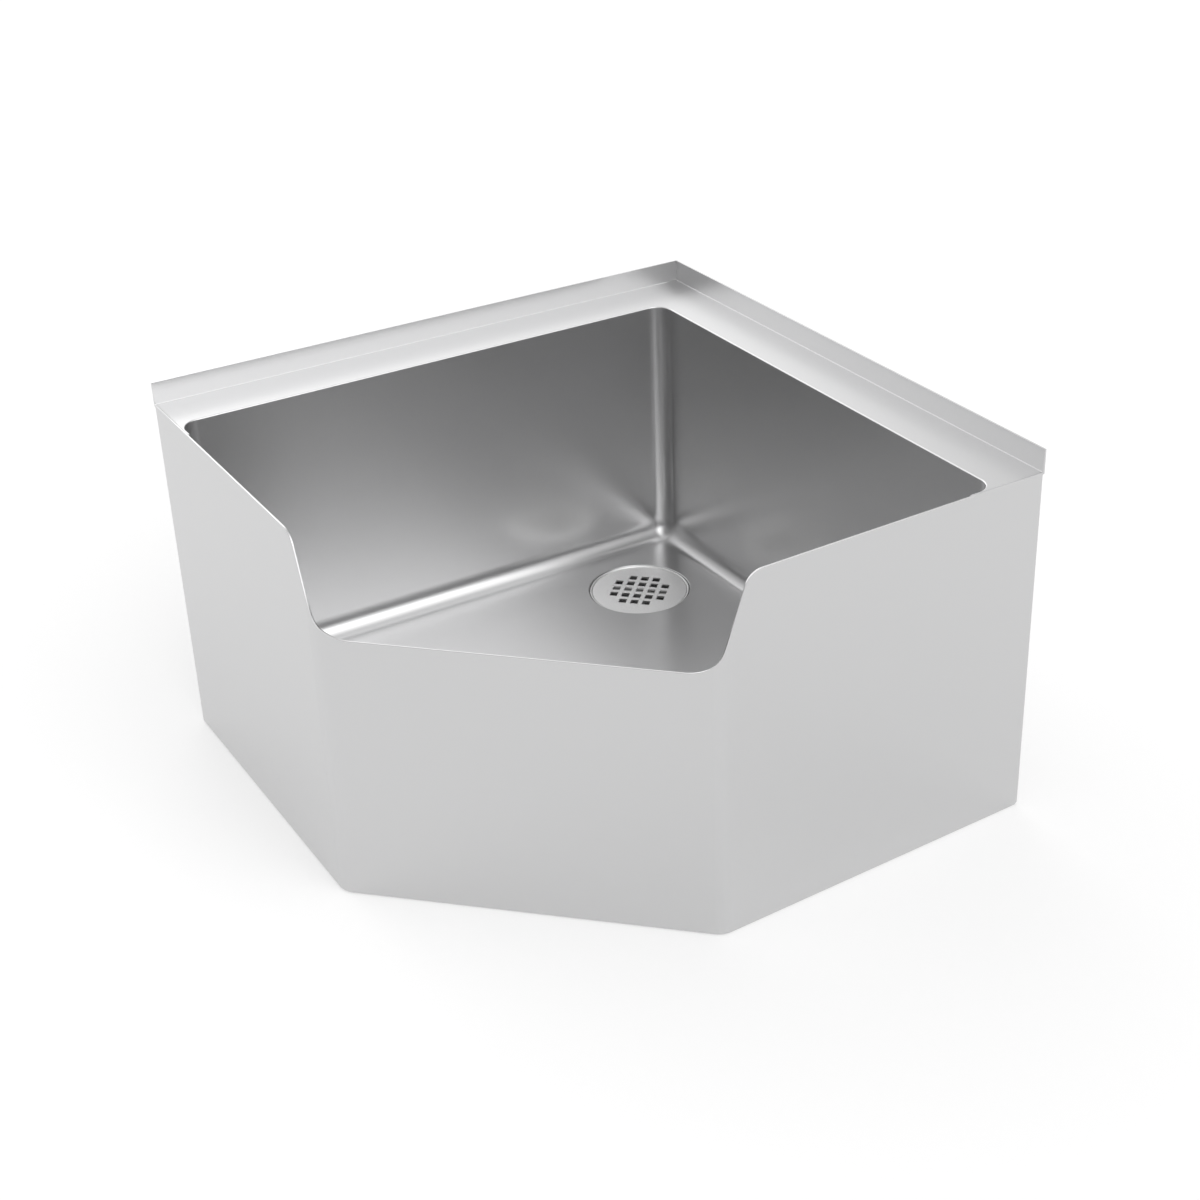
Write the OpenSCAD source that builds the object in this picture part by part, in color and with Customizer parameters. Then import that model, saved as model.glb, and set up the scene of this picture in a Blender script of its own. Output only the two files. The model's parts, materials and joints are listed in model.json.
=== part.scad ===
// Corner mop service sink: a floor-standing stainless sink that fills a room corner.
// Lengths are in millimetres. Z is up and the floor is z = 0. The origin is on the floor under the
// middle of the square that the sink fills. The left wall is the plane x = -overall / 2 and the
// back wall is the plane y = +overall / 2, so the dropped front faces +X and -Y.

/* [Outline] */
// Reach from the room corner along each wall
overall = 673.1; // [560:0.1:800]
// Length of each side panel, from its wall to the bend of the front
side_len = 391.3; // [340:0.1:430]
// Height of the flat rim above the floor
rim_h = 406.4; // [350:0.1:480]
// Width of the flat rim, from the wall to the bowl
rim_w = 63.5; // [50:0.1:80]
// Height of the wall flange above the rim
flange_h = 25.4; // [12:0.1:60]
// Thickness of the sheet
sheet_t = 1.9; // [1.2:0.1:2.6]

/* [Dropped front] */
// Height of the front edge above the floor
front_h = 304.8; // [250:0.1:330]
// Full-height length of each side panel, to where the slope would meet its top edge
drop_start = 361; // [320:0.5:375]
// Slope of the drop, from the vertical
drop_lean = 20; // [10:1:30]
// Radius where the slope leaves the top edge
drop_top_r = 19; // [8:0.5:30]
// Radius where the slope meets the front edge
drop_foot_r = 38; // [20:0.5:48]

/* [Bowl] */
// Height of the bowl's floor above the room floor, in the corner by the drain
bowl_z = 95.2; // [90:0.1:120]
// The floor rises one in this many along each wall, away from that corner
pitch = 96; // [60:1:200]
// Radius of the bowl's upright coves
cove_r = 20; // [15:0.5:22]
// Radius of the coves round its floor
floor_r = 18.5; // [12:0.5:19]
// Straight edge above the floor pan's coves, up to the weld
pan_land = 6; // [3:0.5:15]
// Width of the strip of bowl wall that laps inside each side panel
lap_w = 12; // [6:0.5:20]
// Gap between the bowl's sheets and the apron
lap_gap = 0.5; // [0.4:0.1:0.8]

/* [Bends and edges] */
// Depth of the lip that the rim turns down into the bowl
lip_h = 12.7; // [8:0.1:20]
// Inner radius of the rim's bend into the bowl
edge_r = 1.5; // [0.8:0.1:2.5]
// Inner radius of the bend between the rim and the wall flange
flange_r = 2.5; // [1:0.1:5]
// Width of the apron's returns along the floor and the walls
return_w = 16; // [12:0.5:20]
// Inner radius of those returns' bends
return_r = 2; // [1:0.1:3]

/* [Drain] */
// Distance from each bowl wall to the middle of the drain
drain_offset = 110; // [100:0.5:140]
// Outer diameter of the drain's flange
drain_d = 120; // [116:0.5:126]
// Inner diameter of the drain's cup
cup_d = 101.6; // [99:0.1:104]
// Wall of the drain's cup
cup_wall = 2.8; // [2:0.1:3.5]
// Height of the drain's body
drain_len = 84; // [78:0.5:86]
// Outer diameter of the waste pipe that pushes in from below
pipe_d = 88.9; // [80:0.1:92]
// Diameter of the strainer plate
plate_d = 114.4; // [110:0.1:115]
// Thickness of the strainer plate
plate_t = 2; // [1.5:0.1:2.5]
// Width of the square holes
hole_w = 9.2; // [6:0.1:11]
// Pitch of the square holes
hole_pitch = 14.4; // [12:0.1:16]
// Depth of the lint basket
basket_h = 34; // [20:0.5:40]

/* [Underframe] */
// Leg of the corner post and of the base rails
post_w = 50; // [40:0.5:60]
// Leg of the base rails
rail_w = 25; // [15:0.5:26]
// Height of the hat channels under the floor pan
channel_h = 20; // [12:0.5:26]
// Width of the hat channels' bottom
channel_w = 40; // [25:0.5:60]
// Distance from the apron's front face to the front channel
front_channel_at = 130; // [100:1:160]
// Distance from the apron's front face to the rear channel
rear_channel_at = 330; // [290:1:380]
// Thickness of the sound pads
pad_t = 3; // [1.5:0.5:6]
// Side of the square sound pads beside the drain
pad_side = 70; // [40:1:90]
// Gap between the sound pads and what they lie beside
pad_gap = 10; // [4:1:20]

/* [Levelling feet] */
// Distance from the outer faces to the middle of each foot
foot_inset = 46; // [45:0.5:52]
// Diameter of the studs
stud_d = 12; // [8:0.5:14]
// Diameter of the foot pads
pad_d = 34; // [24:0.5:36]
// Height of the foot pads
pad_h = 8; // [6:0.5:10]
// Underside of the brackets above the floor
bracket_z = 30; // [29:0.5:34]
// Thickness of the brackets
bracket_t = 3; // [2:0.5:5]

/* [Hidden] */
$fn = 96;

// The modules below work from the room corner: x runs along the back wall, y is negative along the
// left wall, and everything left of the diagonal x = -y has its mirror image on the right.
lap = 2 * sheet_t + lap_gap;     // from the apron's outer face to the bowl's inner face
bend_r = lap + cove_r;           // outer radius of the apron's two bends
front_half = (overall - side_len) / sqrt(2);

// Where the planes a distance q inside the left side panel and the front meet
function bend_point(q) = [side_len - q * (sqrt(2) - 1), q - overall];
// The same point on the other side of the diagonal
function across(p) = [-p.y, -p.x];

// The bowl's outline, seen from above and taken anticlockwise from the room corner: the middle of
// each cove, how far the outline turns there, and which way the next wall faces outwards
coves = [[rim_w + cove_r, -rim_w - cove_r], [rim_w + cove_r, bend_r - overall],
    bend_point(bend_r), across(bend_point(bend_r)), [overall - bend_r, -rim_w - cove_r]];
turns = [90, 90, 45, 45, 90];
facings = [180, 270, 315, 360, 450];
CORNER = 0;
LEFT_END = 1;
LEFT_BEND = 2;
RIGHT_BEND = 3;
RIGHT_END = 4;
function wall_len(i) = norm(coves[(i + 1) % 5] - coves[i]);
// What goes along the front is drawn up to just past its middle, and mirrored
front_run = wall_len(LEFT_BEND) / 2 + 5;

// The drop is cut square to the middle of each bend. In that view w runs along the sheet from the
// middle of the bend, and lengths on the panels beside the bend shrink by half_turn's cosine.
half_turn = turns[LEFT_BEND] / 2;
drop_slope = atan(tan(drop_lean) * cos(half_turn));
drop_start_w = (drop_start - bend_point(bend_r).x) * cos(half_turn) - bend_r * sin(half_turn);
drop_foot_w = drop_start_w + (rim_h - front_h) * tan(drop_slope);
drop_turn = tan((90 - drop_slope) / 2);
drop_dir = [-sin(drop_slope), cos(drop_slope)];

// Floor of the bowl at the drain, and the levels that hang on it
drain_xy = [rim_w + drain_offset, -rim_w - drain_offset];
flange_fit = 1;                  // round the drain's flange
tray_r = drain_d / 2 + flange_fit;
drain_z = bowl_z + 2 * drain_offset / pitch - tray_r * sqrt(2) / pitch;   // top of the drain's ring
ring_h = 5;
ring_fit = 0.5;                  // round the strainer plate
plate_drop = 1.2;                // from the ring's top down to the plate
plate_z = drain_z - plate_drop - plate_t;
lift_gap = 0.3;                  // under and between the two pieces that lift out
basket_rim_t = 1;
basket_z = plate_z - basket_rim_t - lift_gap;   // underside of the lint basket's rim
gasket_t = 1;
tray_z = drain_z - ring_h - gasket_t;
under_gasket_t = 3;
washer_t = 1;
nut_h = 9;
body_r = cup_d / 2 + cup_wall;
tray_hole_r = body_r + 0.6;
stop_h = 3;
seal_len = 32;
seal_lip = 2.7;

foot_spots = [[foot_inset, foot_inset - overall], across([foot_inset, foot_inset - overall]),
    bend_point(foot_inset), across(bend_point(foot_inset)), [foot_inset, -foot_inset]];
bracket_w = 1.5 * foot_inset;
weld_nut_h = 0.8 * stud_d;
jam_nut_h = 0.5 * stud_d;
stud_spare = 1.4 * stud_d;       // stud above its nut, to screw down
stud_top = bracket_z + bracket_t + weld_nut_h + stud_spare;
nut_fit = 0.15;
STEEL = [0.78, 0.78, 0.79];
DULL = [0.62, 0.62, 0.64];
RUBBER = [0.13, 0.13, 0.13];

// Places a piece modelled from the room corner in the part's own frame
module placed() translate([-overall / 2, overall / 2, 0]) children();

// Image on the other side of the diagonal
module mirrored() mirror([1, 1, 0]) children();

// Tilts a piece modelled on a level floor at z = 0 to the pitch of the bowl's floor
module pitched()
    translate([rim_w, -rim_w, bowl_z])
    rotate(a = -atan(sqrt(2) / pitch), v = [1, 1, 0])
    translate([-rim_w, rim_w, 0]) children();

// Carries a flat profile along wall i of the bowl. The profile's x is the distance outwards from
// the bowl's inner face, and its y is the height. Along the slanting front it is a hair smaller
// than round the bends, so that no two faces there almost coincide.
HAIR = 0.0005;
module run(i, from, to)
    translate(coves[i]) rotate(facings[i]) scale(i == LEFT_BEND ? 1 - HAIR : 1)
    translate([0, to, 0]) rotate([90, 0, 0])
    linear_extrude(to - from) translate([cove_r, 0]) children();

// Carries the same profile round cove i
module turn(i)
    translate(coves[i]) rotate(facings[i] - turns[i])
    rotate_extrude(angle = turns[i]) translate([cove_r, 0]) children();

// Quarter of a ring, from the x axis to the y axis, turned by a
module quarter_ring(r, t, a) rotate(a) intersection() {
    difference() {
        circle(r + t);
        circle(r);
    }
    square(r + t);
}

// ---- Apron ----

// Side view of the apron's sheet: upright with its return along the floor
module apron_profile(top) translate([lap, 0]) {
    translate([-sheet_t, return_r + sheet_t]) square([sheet_t, top - return_r - sheet_t]);
    translate([-return_r - sheet_t, return_r + sheet_t]) quarter_ring(return_r, sheet_t, -90);
    translate([-return_w, 0]) square([return_w - return_r - sheet_t, sheet_t]);
}

// What the drop takes out of the apron, up to the middle of the front
module drop_outline() {
    top = [drop_start_w, rim_h];
    foot = [drop_foot_w, front_h];
    top_tangent = drop_top_r * drop_turn;
    foot_tangent = drop_foot_r * drop_turn;
    difference() {
        polygon([top - [top_tangent, 0], top - top_tangent * drop_dir,
            foot + foot_tangent * drop_dir, foot + [foot_tangent, 0],
            [front_half, front_h], [front_half, rim_h + 20], [drop_start_w - top_tangent, rim_h + 20]]);
        translate(top - [top_tangent, drop_top_r]) circle(drop_top_r);
    }
    translate(foot + [foot_tangent, drop_foot_r]) circle(drop_foot_r);
}

module drop_cutter()
    translate(coves[LEFT_BEND]) rotate(facings[LEFT_BEND] - half_turn) translate([-front_half, 0, 0])
    rotate([90, 0, 90]) linear_extrude(front_half + 2 * bend_r) drop_outline();

// Side panel up to its bend, with the return along the wall and the tab above it that closes the
// end of the rim
module side_panel() {
    bend_outer = return_r + sheet_t;
    flange_top = rim_h - sheet_t - lap_gap;
    run(LEFT_END, bend_outer - rim_w - cove_r, wall_len(LEFT_END)) apron_profile(rim_h);
    translate([bend_outer, bend_outer - overall, bend_outer]) rotate(180)
        rotate_extrude(angle = 90) translate([return_r, 0])
        square([sheet_t, flange_top - bend_outer]);
    translate([0, bend_outer - overall, bend_outer])
        cube([sheet_t, return_w - bend_outer, flange_top - bend_outer]);
    translate([0, -overall, flange_top]) cube([bend_outer, sheet_t, rim_h - flange_top]);
}

module apron_half() {
    side_panel();
    turn(LEFT_BEND) apron_profile(rim_h);
    run(LEFT_BEND, 0, front_run) apron_profile(rim_h);
}

module apron() color(STEEL) placed() difference() {
    union() {
        apron_half();
        mirrored() apron_half();
    }
    drop_cutter();
    mirrored() drop_cutter();
}

// ---- Rims ----

// The rim's edge over the bowl: a lip that rolls up and out
module rim_edge() {
    translate([0, rim_h - lip_h]) square([sheet_t, lip_h - edge_r - sheet_t]);
    translate([edge_r + sheet_t, rim_h - edge_r - sheet_t]) quarter_ring(edge_r, sheet_t, 90);
}

// The flat of the rim
module rim_flat() translate([edge_r + sheet_t, rim_h - sheet_t])
    square([rim_w - edge_r - flange_r - 2 * sheet_t, sheet_t]);

// The wall flange and its bend
module wall_flange() {
    translate([rim_w - flange_r - sheet_t, rim_h + flange_r]) quarter_ring(flange_r, sheet_t, -90);
    translate([rim_w - sheet_t, rim_h + flange_r]) square([sheet_t, flange_h - flange_r]);
}

// Fills the rim's flat between its straight edges and the round corner of the opening
module rim_fillet(i) {
    size = cove_r + edge_r + sheet_t;
    translate([coves[i].x, coves[i].y, rim_h - sheet_t]) rotate(facings[i] - 90)
        linear_extrude(sheet_t) difference() {
            square(size);
            circle(size);
        }
}

module rim() {
    inside = cove_r + lap - sheet_t;
    difference() {
        union() {
            run(CORNER, -rim_w - cove_r, wall_len(CORNER) + inside) {
                rim_flat();
                wall_flange();
            }
            run(CORNER, 0, wall_len(CORNER)) rim_edge();
            turn(CORNER) rim_edge();
            turn(LEFT_END) rim_edge();
            run(LEFT_END, 0, lap_w) rim_edge();
            rim_fillet(CORNER);
            rim_fillet(LEFT_END);
        }
        // the mitre at the room corner
        rotate(-45) translate([-overall, 0, 0]) cube([2 * overall, overall, 2 * rim_h]);
        // the apron's inner face
        translate([-1, -overall - 20, 0]) cube([overall, 20 + sheet_t, 2 * rim_h]);
    }
    // the wall flange runs on over the apron's edge
    intersection() {
        run(CORNER, wall_len(CORNER) + inside, wall_len(CORNER) + inside + sheet_t) wall_flange();
        translate([-1, -overall - 1, rim_h]) cube([rim_w, 20, 2 * flange_h]);
    }
}

module left_rim() color(STEEL) placed() rim();
module back_rim() color(STEEL) placed() mirrored() rim();

// ---- Bowl ----

module bowl_wall() color(STEEL) placed() difference() {
    union() {
        for (i = [CORNER, RIGHT_END]) run(i, 0, wall_len(i)) wall_band();
        for (i = [CORNER, LEFT_END, RIGHT_END]) turn(i) wall_band();
        run(LEFT_END, 0, lap_w) wall_band();
        run(RIGHT_BEND, wall_len(RIGHT_BEND) - lap_w, wall_len(RIGHT_BEND)) wall_band();
    }
    // welded to the floor pan along a line that follows the pitch
    pitched() translate([-overall, -2 * overall, -overall])
        cube([3 * overall, 3 * overall, overall + floor_r + pan_land]);
}

module wall_band() translate([0, bowl_z]) square([sheet_t, rim_h - lip_h - bowl_z]);

// Edge of the floor pan: flat, cove and the land that is welded to the walls
module pan_edge() {
    translate([-cove_r, -sheet_t]) square([cove_r - floor_r, sheet_t]);
    translate([-floor_r, floor_r]) quarter_ring(floor_r, sheet_t, -90);
    translate([0, floor_r]) square([sheet_t, pan_land]);
}

module pan_half() {
    run(CORNER, 0, wall_len(CORNER)) pan_edge();
    turn(LEFT_END) pan_edge();
    run(LEFT_END, 0, wall_len(LEFT_END)) pan_edge();
    turn(LEFT_BEND) pan_edge();
    run(LEFT_BEND, 0, front_run) pan_edge();
}

module floor_pan() color(STEEL) placed() difference() {
    union() {
        pitched() {
            turn(CORNER) pan_edge();
            pan_half();
            mirrored() pan_half();
            translate([0, 0, -sheet_t]) linear_extrude(sheet_t) polygon(coves);
        }
        at_drain(tray_z - sheet_t) cylinder(r = tray_r + sheet_t, h = ring_h + gasket_t + sheet_t + 3);
    }
    // the tray that the drain's flange lies in, trimmed to the pitch of the floor
    pitched() translate([drain_xy.x - tray_r - 10, drain_xy.y - tray_r - 10, 0])
        cube([2 * tray_r + 20, 2 * tray_r + 20, 20]);
    at_drain(tray_z) cylinder(r = tray_r, h = 30);
    at_drain(tray_z - 10) cylinder(r = tray_hole_r, h = 30);
}

// ---- Drain ----

module at_drain(z) translate([drain_xy.x, drain_xy.y, z]) children();

// A flat ring between two radii
module washer(inner, outer, h) difference() {
    cylinder(r = outer, h = h);
    translate([0, 0, -1]) cylinder(r = inner, h = h + 2);
}

module drain_body() color(STEEL) placed() at_drain(0) {
    cup_r = cup_d / 2;
    seat_r = plate_d / 2 + ring_fit;
    basket_seat_r = basket_rim_r() + 0.3;
    stop_z = drain_z - drain_len + seal_len;
    stop_r = pipe_d / 2 - 2.5;
    rotate_extrude() polygon([[cup_r, basket_z - lift_gap], [basket_seat_r, basket_z - lift_gap],
        [basket_seat_r, plate_z - lift_gap], [seat_r, plate_z - lift_gap], [seat_r, drain_z],
        [drain_d / 2, drain_z], [drain_d / 2, drain_z - ring_h], [body_r, drain_z - ring_h],
        [body_r, drain_z - drain_len], [cup_r, drain_z - drain_len],
        [cup_r, stop_z], [stop_r, stop_z], [stop_r, stop_z + stop_h], [cup_r, stop_z + stop_h + 3]]);
}

function basket_rim_r() = cup_d / 2 + 2;

module flange_gasket() color(RUBBER) placed() at_drain(tray_z)
    washer(tray_hole_r, drain_d / 2, gasket_t);

module under_gasket() color(RUBBER) placed() at_drain(tray_z - sheet_t - under_gasket_t)
    washer(body_r + 0.2, tray_r + 1, under_gasket_t);

module friction_washer() color([0.72, 0.62, 0.45]) placed()
    at_drain(tray_z - sheet_t - under_gasket_t - washer_t)
    washer(body_r + 0.3, tray_r + 2, washer_t);

module lock_nut() color([0.75, 0.62, 0.3]) placed()
    at_drain(tray_z - sheet_t - under_gasket_t - washer_t - nut_h) difference() {
        washer(body_r + nut_fit, body_r + 9, nut_h);
        for (a = [0 : 45 : 315])
            rotate(a) translate([body_r + 5, -6, -1]) cube([20, 12, nut_h - 1]);
    }

// Rubber sleeve in the bottom of the drain's body, with a lip under the body's end
module pipe_seal() color(RUBBER) placed() at_drain(drain_z - drain_len) {
    washer(pipe_d / 2, cup_d / 2 - 0.1, seal_len - 0.3);
    translate([0, 0, -seal_lip]) washer(pipe_d / 2, body_r, seal_lip);
}

// Perforated cup on a flat rim, with a strap across its mouth to lift it by
module lint_basket() color(STEEL) placed() at_drain(basket_z) {
    cup_r = cup_d / 2 - 4;
    wall = 1.2;
    floor_z = -basket_h;
    difference() {
        union() {
            cylinder(r = basket_rim_r(), h = basket_rim_t);
            translate([0, 0, floor_z]) cylinder(r = cup_r, h = basket_h);
        }
        translate([0, 0, floor_z + wall]) cylinder(r = cup_r - wall, h = basket_h + 10);
        for (ring = [0 : 3], k = [0 : max(6 * ring, 1) - 1])
            rotate(60 * k / max(ring, 1)) translate([10 * ring, 0, floor_z - 1])
                cylinder(d = 5, h = wall + 2);
        for (row = [0 : 2], k = [0 : 15])
            translate([0, 0, floor_z + basket_h * (0.25 + 0.25 * row)]) rotate(22.5 * (k + row / 2))
                rotate([0, 90, 0]) translate([0, 0, cup_r - 4]) cylinder(d = 4.5, h = 8);
    }
    rotate(45) translate([-cup_r + wall / 2, -6, -basket_rim_t])
        cube([2 * cup_r - wall, 12, basket_rim_t]);
}

// Round plate with a square grid of square holes less its four corners, in line with the front
module strainer_plate() color(STEEL) placed() at_drain(plate_z) linear_extrude(plate_t)
    difference() {
        circle(d = plate_d);
        rotate(45) for (i = [-2 : 2], j = [-2 : 2])
            if (abs(i) + abs(j) < 4)
                translate([i * hole_pitch, j * hole_pitch]) square(hole_w, center = true);
    }

// ---- Underframe ----

// Half the length of a channel a distance q behind the front: its corners stop short of the coves
channel_flange = 15;
function channel_half(q) = min(front_half + q - bend_r * sqrt(2),
    (overall + side_len) / sqrt(2) - (rim_w + cove_r) * sqrt(2) - q)
    - channel_w / 2 - channel_flange - 2;

// Places a piece a distance q behind the front's outer face, along the front from its middle.
// Its x runs along the front, its y towards the room corner and its z square to the pitched floor.
module under_floor(q)
    pitched() translate([(overall + side_len) / 2, -(overall + side_len) / 2, -sheet_t])
    rotate(45) translate([0, q, 0]) children();

// Hat section, open against the floor pan
module hat_channel(half) {
    translate([-half, 0, 0]) rotate([90, 0, 90]) linear_extrude(2 * half) difference() {
        union() {
            translate([-channel_w / 2 - channel_flange, -sheet_t])
                square([channel_w + 2 * channel_flange, sheet_t]);
            translate([-channel_w / 2, -channel_h]) square([channel_w, channel_h]);
        }
        translate([-channel_w / 2 + sheet_t, -channel_h + sheet_t])
            square([channel_w - 2 * sheet_t, channel_h]);
    }
}

module front_channel() color(DULL) placed()
    under_floor(front_channel_at) hat_channel(channel_half(front_channel_at));

module rear_channel() color(DULL) placed()
    under_floor(rear_channel_at) hat_channel(channel_half(rear_channel_at));

// Deadening pads on the floor pan: one before the channels, one between and two behind them
module sound_pads() color(RUBBER) placed() {
    reach = channel_w / 2 + channel_flange;
    front_from = bend_r + pad_gap;
    front_to = front_channel_at - reach - pad_gap;
    middle_from = front_channel_at + reach + pad_gap;
    middle_to = rear_channel_at - reach - pad_gap;
    under_floor((front_from + front_to) / 2) sound_pad(front_half, front_to - front_from);
    under_floor((middle_from + middle_to) / 2) sound_pad(1.4 * front_half, middle_to - middle_from);
    for (s = [-1, 1]) under_floor(rear_channel_at + reach + pad_gap + pad_side / 2)
        translate([1.7 * s * pad_side, 0, 0]) sound_pad(pad_side, pad_side);
}

module sound_pad(length, width) translate([-length / 2, -width / 2, -pad_t])
    cube([length, width, pad_t]);

// Angle under the rims' mitre, with a leg on each wall
module corner_post() color(DULL) placed() linear_extrude(rim_h - sheet_t) union() {
    translate([0, -post_w]) square([sheet_t, post_w]);
    translate([0, -sheet_t]) square([post_w, sheet_t]);
}

// Angle on the floor along the left wall, lapped inside the apron's return and the corner post
module base_rail() difference() {
    union() {
        translate([sheet_t, return_w + 1 - overall, 0])
            cube([sheet_t, overall - return_w - 1, rail_w]);
        translate([sheet_t, return_w + 1 - overall, 0])
            cube([rail_w - sheet_t, overall - return_w - 1, sheet_t]);
    }
    translate([0, -sheet_t, -1]) cube([overall, overall, rim_h]);
    rotate(-45) translate([-overall, 0, -1]) cube([2 * overall, overall, rim_h]);
}

module left_base_rail() color(DULL) placed() base_rail();
module back_base_rail() color(DULL) placed() mirrored() base_rail();

// ---- Levelling feet ----

module bracket(outline, spot) translate([0, 0, bracket_z]) linear_extrude(bracket_t) difference() {
    polygon(outline);
    translate(spot) circle(d = stud_d + 1);
}

// Plate in the square corner of the apron's end, clear of the return's bend
module end_bracket() {
    near = sheet_t;
    far = bracket_w;
    clip = return_r + 3;
    y = -overall;
    bracket([[near + clip, y + near], [far, y + near], [far, y + foot_inset], [foot_inset, y + far],
        [near, y + far], [near, y + near + clip]], foot_spots[0]);
}

// Plate across the inside of the apron's bend
module bend_bracket() {
    corner = bend_point(sheet_t);
    clip = bend_r * tan(22.5) + 1;
    along = [cos(45), sin(45)];
    inwards = [-cos(45), sin(45)];
    depth = foot_inset + stud_d;
    bracket([corner - [clip, 0], corner + clip * along, corner + bracket_w * along,
        corner + bracket_w * along + depth / 2 * inwards, bend_point(depth),
        corner - [bracket_w, 0] + [0, depth / 2], corner - [bracket_w, 0]], foot_spots[2]);
}

module left_end_bracket() color(DULL) placed() end_bracket();
module right_end_bracket() color(DULL) placed() mirrored() end_bracket();
module front_left_bracket() color(DULL) placed() bend_bracket();
module front_right_bracket() color(DULL) placed() mirrored() bend_bracket();
module corner_bracket() color(DULL) placed() {
    near = sheet_t;
    far = bracket_w;
    bracket([[near, -near], [near, -far], [foot_inset, -far], [far, -foot_inset], [far, -near]],
        foot_spots[4]);
}

// Hexagon nut on each stud
module nuts(z, h) for (spot = foot_spots) translate([spot.x, spot.y, z]) difference() {
    cylinder(d = 1.85 * stud_d, h = h, $fn = 6);
    translate([0, 0, -1]) cylinder(d = stud_d + 2 * nut_fit, h = h + 2);
}

module weld_nuts() color(DULL) placed() nuts(bracket_z + bracket_t, weld_nut_h);
module jam_nuts() color(DULL) placed() nuts(bracket_z - jam_nut_h, jam_nut_h);

// Stud with a hexagon above its pad and a spigot in it
module stud(k) color(DULL) placed() translate([foot_spots[k].x, foot_spots[k].y, 0]) {
    translate([0, 0, 3]) cylinder(d = stud_d, h = stud_top - 4);
    translate([0, 0, stud_top - 1]) cylinder(d1 = stud_d, d2 = stud_d - 2, h = 1);
    translate([0, 0, pad_h]) cylinder(d = 1.6 * stud_d, h = 0.4 * stud_d, $fn = 6);
}

module foot_pad(k) color(RUBBER) placed() translate([foot_spots[k].x, foot_spots[k].y, 0])
    difference() {
        union() {
            cylinder(d = pad_d, h = pad_h - 3);
            translate([0, 0, pad_h - 3]) cylinder(d1 = pad_d, d2 = pad_d - 8, h = 3);
        }
        translate([0, 0, 3]) cylinder(d = stud_d + 2 * nut_fit, h = pad_h);
    }

module left_end_stud() stud(0);
module right_end_stud() stud(1);
module front_left_stud() stud(2);
module front_right_stud() stud(3);
module corner_stud() stud(4);
module left_end_pad() foot_pad(0);
module right_end_pad() foot_pad(1);
module front_left_pad() foot_pad(2);
module front_right_pad() foot_pad(3);
module corner_pad() foot_pad(4);

apron();
left_rim();
back_rim();
bowl_wall();
floor_pan();
drain_body();
flange_gasket();
under_gasket();
friction_washer();
lock_nut();
pipe_seal();
lint_basket();
strainer_plate();
front_channel();
rear_channel();
sound_pads();
corner_post();
left_base_rail();
back_base_rail();
left_end_bracket();
right_end_bracket();
front_left_bracket();
front_right_bracket();
corner_bracket();
weld_nuts();
jam_nuts();
left_end_stud();
right_end_stud();
front_left_stud();
front_right_stud();
corner_stud();
left_end_pad();
right_end_pad();
front_left_pad();
front_right_pad();
corner_pad();
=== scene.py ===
"""Corner mop service sink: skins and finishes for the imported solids.

Run as a script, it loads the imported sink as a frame, lays smooth sheet-metal skins over its sheets,
gives every solid a procedural finish, and builds the stage, the lights and the camera.
"""

import json
import math

import bmesh
import bpy
import numpy as np
from bpy.props import FloatProperty, FloatVectorProperty, PointerProperty
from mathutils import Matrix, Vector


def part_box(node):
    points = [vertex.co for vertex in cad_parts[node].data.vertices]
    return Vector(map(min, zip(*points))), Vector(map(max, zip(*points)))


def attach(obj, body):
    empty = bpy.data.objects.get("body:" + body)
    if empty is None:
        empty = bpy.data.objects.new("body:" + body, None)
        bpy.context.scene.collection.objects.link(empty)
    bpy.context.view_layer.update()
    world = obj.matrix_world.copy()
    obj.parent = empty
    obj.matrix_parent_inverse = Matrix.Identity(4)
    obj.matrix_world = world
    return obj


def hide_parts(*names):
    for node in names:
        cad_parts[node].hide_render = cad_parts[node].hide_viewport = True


bl_info = {
    "name": "Corner Mop Sink",
    "version": (1, 0, 0),
    "blender": (4, 5, 0),
    "location": "View3D > Sidebar > Mop Sink",
    "description": "Builds the skins, finishes and stage of a stainless corner mop sink",
    "category": "Object",
}

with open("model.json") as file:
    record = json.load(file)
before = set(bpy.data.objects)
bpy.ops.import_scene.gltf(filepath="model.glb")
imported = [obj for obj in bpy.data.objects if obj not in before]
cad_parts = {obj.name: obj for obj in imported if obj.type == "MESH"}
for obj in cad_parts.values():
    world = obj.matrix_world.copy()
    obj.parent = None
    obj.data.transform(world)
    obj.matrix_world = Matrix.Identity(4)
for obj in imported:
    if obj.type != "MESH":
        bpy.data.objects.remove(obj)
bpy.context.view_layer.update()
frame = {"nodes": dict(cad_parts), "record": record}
NODES = frame["nodes"]

_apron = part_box("apron")
_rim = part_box("left_rim")
OVERALL = _apron[1].x - _apron[0].x          # reach from the room corner along each wall
RIM_H = _apron[1].z                          # height of the flat rim
FLANGE_TOP = _rim[1].z                       # height of the wall flange

# Soft boxes of the studio: azimuth from +X, elevation, strength
SOFT_BOXES = ((0, 10, 1.08), (30, 10, 0.58), (150, 10, 0.7), (180, 10, 1.04), (210, 10, 0.91),
              (240, 10, 0.56), (270, 10, 0.18), (330, 10, 0.51), (15, 36, 1.31), (51, 36, 0.4),
              (123, 36, 0.08), (159, 36, 0.81), (195, 36, 0.75), (231, 36, 0.45), (267, 36, 0.06),
              (339, 36, 0.68), (0, 62, 0.85), (60, 62, 0.5), (120, 62, 0.08), (180, 62, 0.24),
              (0, 88, 0.23))
FOCUS = 9.0
WHITE = (1, 1, 1, 1)
FLOOR_DROP = -0.0002                         # height of the floor, clear of the soles

CAMERA_AT = (1.5975, -0.9120, 1.2584)        # metres
CAMERA_DIP, CAMERA_TURN = 27.735, 55.083     # degrees below the level, and round from +Y
CAMERA_LENS, CAMERA_SENSOR = 58.212, 36      # millimetres
CAMERA_SHIFT = (-0.11938, -0.0570)           # shares of the sensor

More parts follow.
